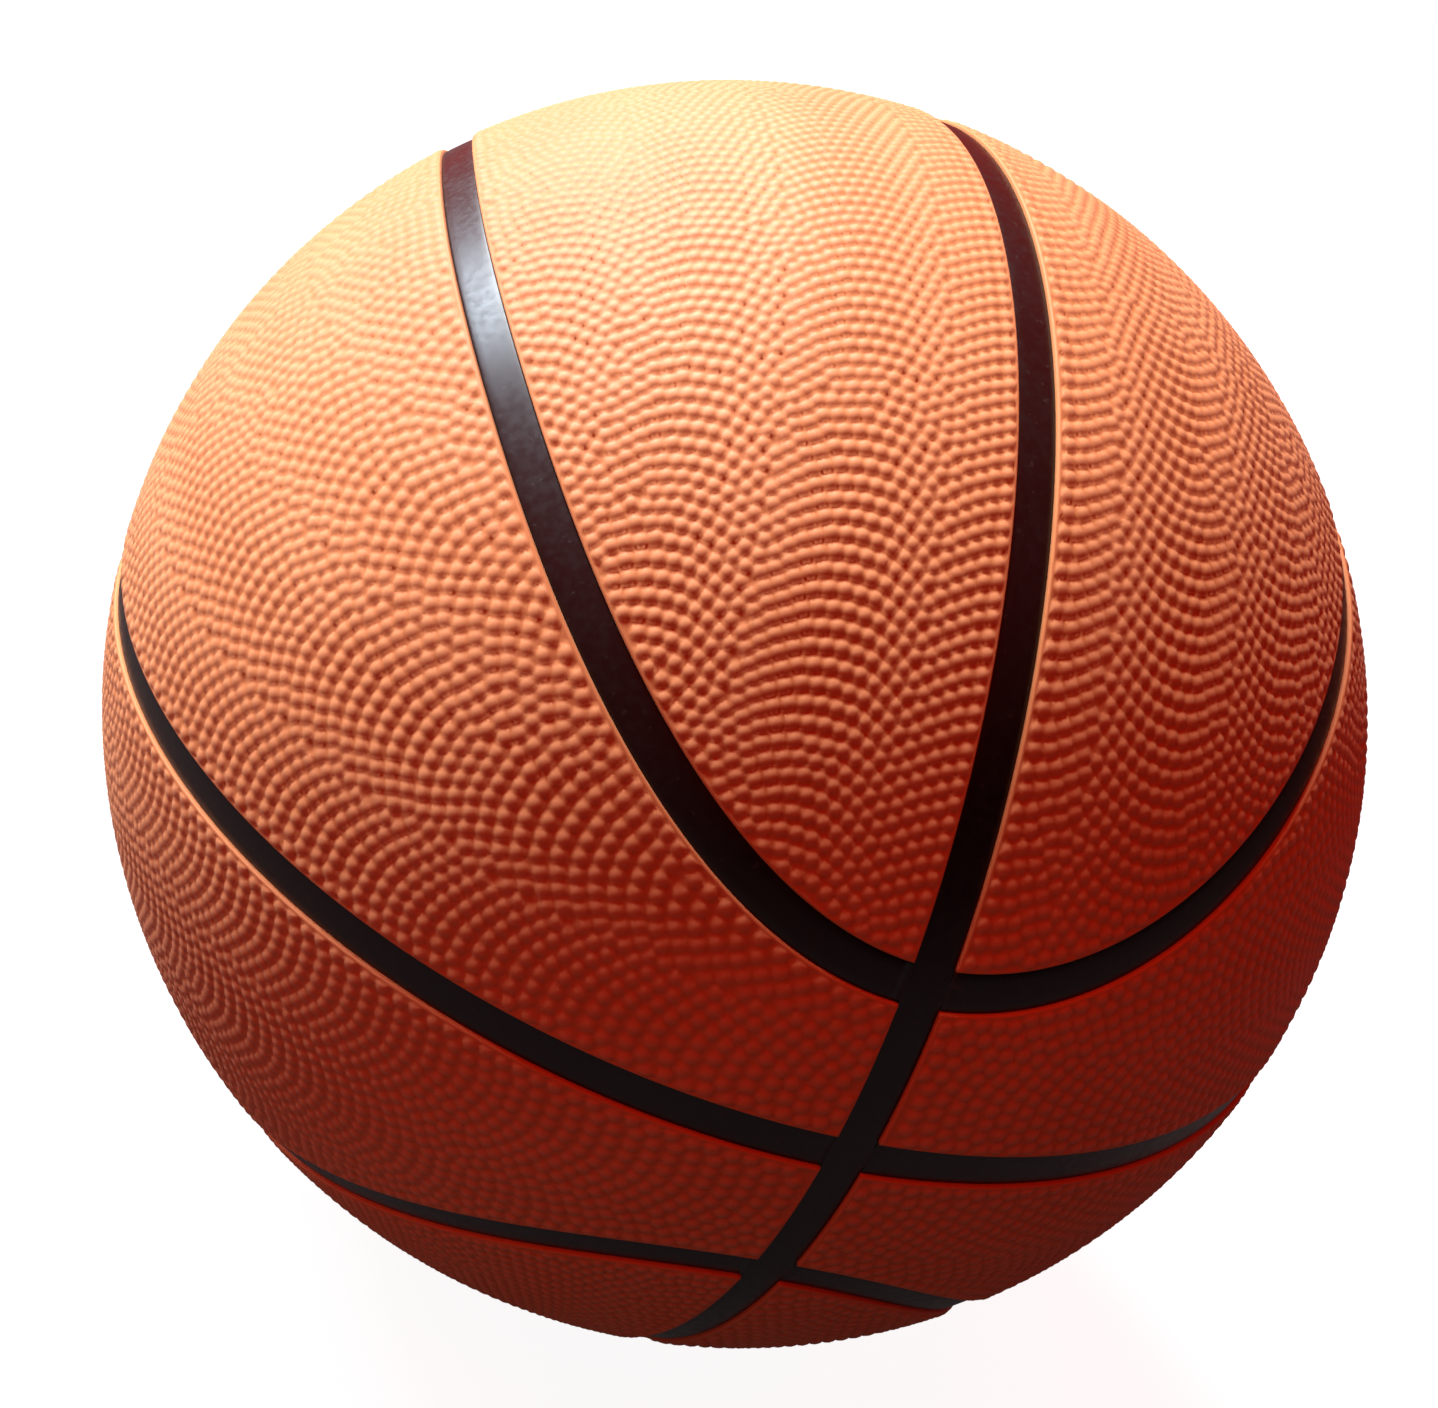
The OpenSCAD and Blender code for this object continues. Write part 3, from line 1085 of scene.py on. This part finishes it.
# %% [markdown]
# A finish is such a tree with one Principled shader. Its patterns are all in the place of a
# point on the ball, so they stay where they are when the ball or the camera moves.

# %% A finish
class Finish(Nodes):
    """A material with one Principled shader, and the nodes that feed it."""

    def __init__(self, name):
        self.material = bpy.data.materials.new(name)
        self.material.use_nodes = True
        super().__init__(self.material.node_tree)
        self.shader = next(n for n in self.tree.nodes if n.type == "BSDF_PRINCIPLED")
        self.place = self.node("ShaderNodeTexCoord", output="Object")

    def set(self, **values):
        """Fill sockets of the shader: a name's underscores stand for spaces."""
        for name, value in values.items():
            self.fill(self.shader.inputs[name.replace("_", " ")], value)

    def noise(self, size, detail=2.0):
        """Noise whose grains have about this size in metres."""
        inputs = {"Vector": self.place, "Scale": 1 / size, "Detail": detail}
        return self.node("ShaderNodeTexNoise", inputs=inputs)

    def bumped(self, height, depth, share=1.0):
        """A normal for a height from 0 to 1, which is depth metres from low to high."""
        inputs = {"Strength": share, "Distance": depth, "Height": height}
        return self.node("ShaderNodeBump", inputs=inputs)

    def from_centre(self):
        """Distance from the ball's centre in metres."""
        return self.node("ShaderNodeVectorMath", {"operation": "LENGTH"}, {0: self.place}, "Value")

    def give_to(self, *pieces):
        for piece in pieces:
            piece.data.materials.clear()
            piece.data.materials.append(self.material)
        print(self.material.name, "on", len(pieces), "pieces")

# %% [markdown]
# The cover is soft orange rubber with a matt skin. The tops of the pebbles are rubbed by
# hands and floors and are a little drier than the rubber between them, which is painted a
# darker, redder orange as painted shade in the pits. Fine pores break up the shine. How
# far a point is up its pebble comes from its distance to the ball's centre, so no mask has
# to be painted.

# %% Finish of the cover rubber
cover = Finish("cover_rubber")
up_the_pebble = (cover.from_centre() - valley_r) / pebble_h
# This mask is 0 in the pits and 1 on the pebble tops: it paints shade into the pits and makes the tops
# a little less rough.
pebble_top_mask = up_the_pebble.over(0.25, 0.95)
patches = cover.noise(30 * mm, 3).over(0.35, 0.7)
grain = cover.noise(0.25 * mm, 3)
# Painted shade: the pits between the pebbles get a darker, redder orange than the tops.
painted_pit_shade = patches.between((0.71, 0.275, 0.095), (0.75, 0.305, 0.112))
pale = patches.between((0.78, 0.350, 0.150), (0.81, 0.380, 0.168))
cover.set(Base_Color=pebble_top_mask.between(painted_pit_shade, pale), Roughness=0.56 - 0.05 * pebble_top_mask + 0.06 * grain)
cover.set(Normal=cover.bumped(grain, 0.02 * mm, 0.5), Specular_IOR_Level=0.3)
cover.set(Sheen_Weight=0.1, Sheen_Roughness=0.4, Sheen_Tint=(1.0, 0.85, 0.75))
cover.give_to(*panels)

# %% [markdown]
# The strips are smooth black rubber with a satin skin, a little greasy from hands, with
# specks of dust. Their shine is broad, as it is on a moulded part and not on a polished
# one.

# %% Finish of the strips
black = Finish("channel_rubber")
specks = black.noise(1.1 * mm, 4).over(0.64, 0.74)
smears = black.noise(14 * mm, 3)
scuffs = black.noise(1.4 * mm, 4).over(0.35, 0.7)
black.set(Base_Color=specks.between((0.004, 0.0025, 0.003), (0.022, 0.018, 0.018)))
black.set(Roughness=0.28 + 0.12 * smears + 0.08 * scuffs + 0.12 * specks, Specular_IOR_Level=0.5)
black.set(Normal=black.bumped(black.noise(0.5 * mm, 3), 0.015 * mm, 0.4))
black.give_to(*strips)

# %% [markdown]
# The plug is a harder black rubber. A dry dust of talc from the factory stays on it.

# %% Finish of the valve plug
plug_rubber = Finish("valve_rubber")
talc = plug_rubber.noise(0.8 * mm, 4).over(0.5, 0.75)
plug_rubber.set(Base_Color=talc.between((0.014, 0.012, 0.012), (0.05, 0.047, 0.044)))
plug_rubber.set(Roughness=0.42 + 0.25 * talc)
plug_rubber.set(Normal=plug_rubber.bumped(plug_rubber.noise(0.3 * mm, 3), 0.02 * mm, 0.5))
plug_rubber.give_to(plug)

# %% [markdown]
# Inside the cover are the parts that show only when a ball is cut: the black carcass under
# the panels, the nylon thread wound round it, the bladder and the valve's housing. They
# keep their CAD shapes. Thread could be laid as curves, but kilometres of it would be far
# too much for a layer that stays hidden, so its finish draws it: three waves across each
# other stand for the fine turns.

# %% Finishes of the inner pieces
def dull_rubber(name, dark, light, roughness):
    finish = Finish(name)
    mottle = finish.noise(8 * mm, 4)
    finish.set(Base_Color=mottle.between(dark, light), Roughness=roughness + 0.1 * mottle)
    finish.set(Normal=finish.bumped(finish.noise(0.6 * mm, 3), 0.03 * mm, 0.5))
    return finish


nodes = frame["nodes"]
carcass_rubber = dull_rubber("carcass_rubber", (0.020, 0.018, 0.017), (0.035, 0.032, 0.030), 0.6)
carcass_rubber.give_to(nodes["carcass"])
bladder_rubber = dull_rubber("bladder_rubber", (0.012, 0.012, 0.013), (0.025, 0.024, 0.024), 0.45)
bladder_rubber.give_to(nodes["bladder"], nodes["valve_housing"])

# %% Finish of the thread
thread = Finish("nylon_thread")
turns = []
for direction in ("X", "Y", "Z"):
    inputs = {"Vector": thread.place, "Scale": 0.31 / mm, "Distortion": 0.6}
    turns.append(thread.node("ShaderNodeTexWave", {"bands_direction": direction}, inputs))
wound = turns[0] * 0.4 + turns[1] * 0.3 + turns[2] * 0.3
thread.set(Base_Color=wound.between((0.42, 0.40, 0.35), (0.75, 0.73, 0.68)), Roughness=0.55)
thread.set(Normal=thread.bumped(wound, 0.15 * mm))
thread.give_to(nodes["thread_winding"])

# %% [markdown]
# The ball lies on a pale sheet that runs on far beyond the picture. To the camera the sheet
# glows almost white, which no lamp could do without burning out the ball, and its plain
# colour under the glow still takes the ball's shadow. Mirrors and gloss see it only
# faintly, because the strips in the photograph reflect a dark room. What it throws back on
# the ball is a trace of dark red, as the shadow side shows.

# %% Floor
floor_half = 40 * ball_r
corners = [(x * floor_half, y * floor_half, -ball_r) for x, y in ((-1, -1), (1, -1), (1, 1), (-1, 1))]
floor_mesh = bpy.data.meshes.new("floor")
floor_mesh.from_pydata(corners, [], [(0, 1, 2, 3)])
floor = add_object("floor", floor_mesh)

# %% Finish of the floor
in_gloss = 0.06
near_white = (0.93, 0.93, 0.93)
paper = Finish("floor_paper")
seen = paper.node("ShaderNodeLightPath", output="Is Camera Ray")
for kind, share in (("Is Glossy Ray", in_gloss), ("Is Transmission Ray", 1)):
    ray = paper.node("ShaderNodeLightPath", output=kind) * share
    seen = paper.node("ShaderNodeMath", {"operation": "MAXIMUM"}, {0: seen, 1: ray})
far = (paper.from_centre() / ball_r).over(2, 9)
white = far.between(near_white, (1, 1, 1))
paper.set(Base_Color=seen.between((0.02, 0.004, 0.003), (0.15, 0.15, 0.15)), Roughness=0.9)
paper.set(Emission_Color=seen.between((0, 0, 0), white), Emission_Strength=1.0)
paper.give_to(floor)

# %% [markdown]
# In the photograph the side away from the light is a deep glowing red and not a dark brown:
# its camera's tone did that. The view transform here is the plain one, which does no such
# thing, so the walls of the studio give a weak red light, more of it from the bright side.
# The camera itself sees them as white.

# %% Walls of the studio
world = bpy.data.worlds.new("studio")
bpy.context.scene.world = world
world.use_nodes = True
studio = Nodes(world.node_tree)
background = next(n for n in studio.tree.nodes if n.type == "BACKGROUND")
bright_side = Vector((-0.46, 0.54, 0.71)).normalized()
towards = {0: studio.node("ShaderNodeTexCoord", output="Generated"), 1: bright_side}
facing = studio.node("ShaderNodeVectorMath", {"operation": "DOT_PRODUCT"}, towards, "Value")
dark_wall = (0.01, 0.001, 0.001)
red_wall = (0.32, 0.011, 0.005)
glow = (0.86, 0.038, 0.018)
side = facing.over(-0.35, 0.05).between(dark_wall, red_wall)
walls = facing.over(0.10, 0.70).between(side, glow)
at_wall = studio.node("ShaderNodeLightPath", output="Is Camera Ray")
studio.fill(background.inputs["Color"], at_wall.between(walls, (1, 1, 1)))

# %% [markdown]
# The shading says that the light comes from behind the ball, to its left: a large soft
# source high up gives the top its pale sheen, a bluer one beside it lights the left, and a
# weak low one puts the shine on the strips. All stand 4 metres away, because a lamp near
# the ball lights its top far more than its middle.

# %% Lamps
lamp_distance = 4.0


def softbox(name, direction, size, power, colour=(1, 1, 1)):
    """A square lamp that faces the ball."""
    lamp_data = bpy.data.lights.new(name, "AREA")
    lamp_data.size = size
    lamp_data.energy = power
    lamp_data.color = colour
    lamp = add_object(name, lamp_data)
    direction = Vector(direction).normalized()
    lamp.location = direction * lamp_distance
    lamp.rotation_euler = direction.to_track_quat("Z", "Y").to_euler()
    print(f"{name}: {power} W, {size} m wide, at", lamp.location[:])


softbox("main", (-0.38, 0.45, 0.81), 1.8, 335, (0.84, 0.92, 0.95))
softbox("key", (-0.70, 0.42, 0.58), 1.2, 130, (0.74, 0.88, 1.0))
softbox("low", (-0.80, 0.60, 0.12), 1.4, 35)
bpy.context.scene.view_settings.view_transform = "Standard"

# %% Bring the scene up to date
bpy.context.view_layer.update()
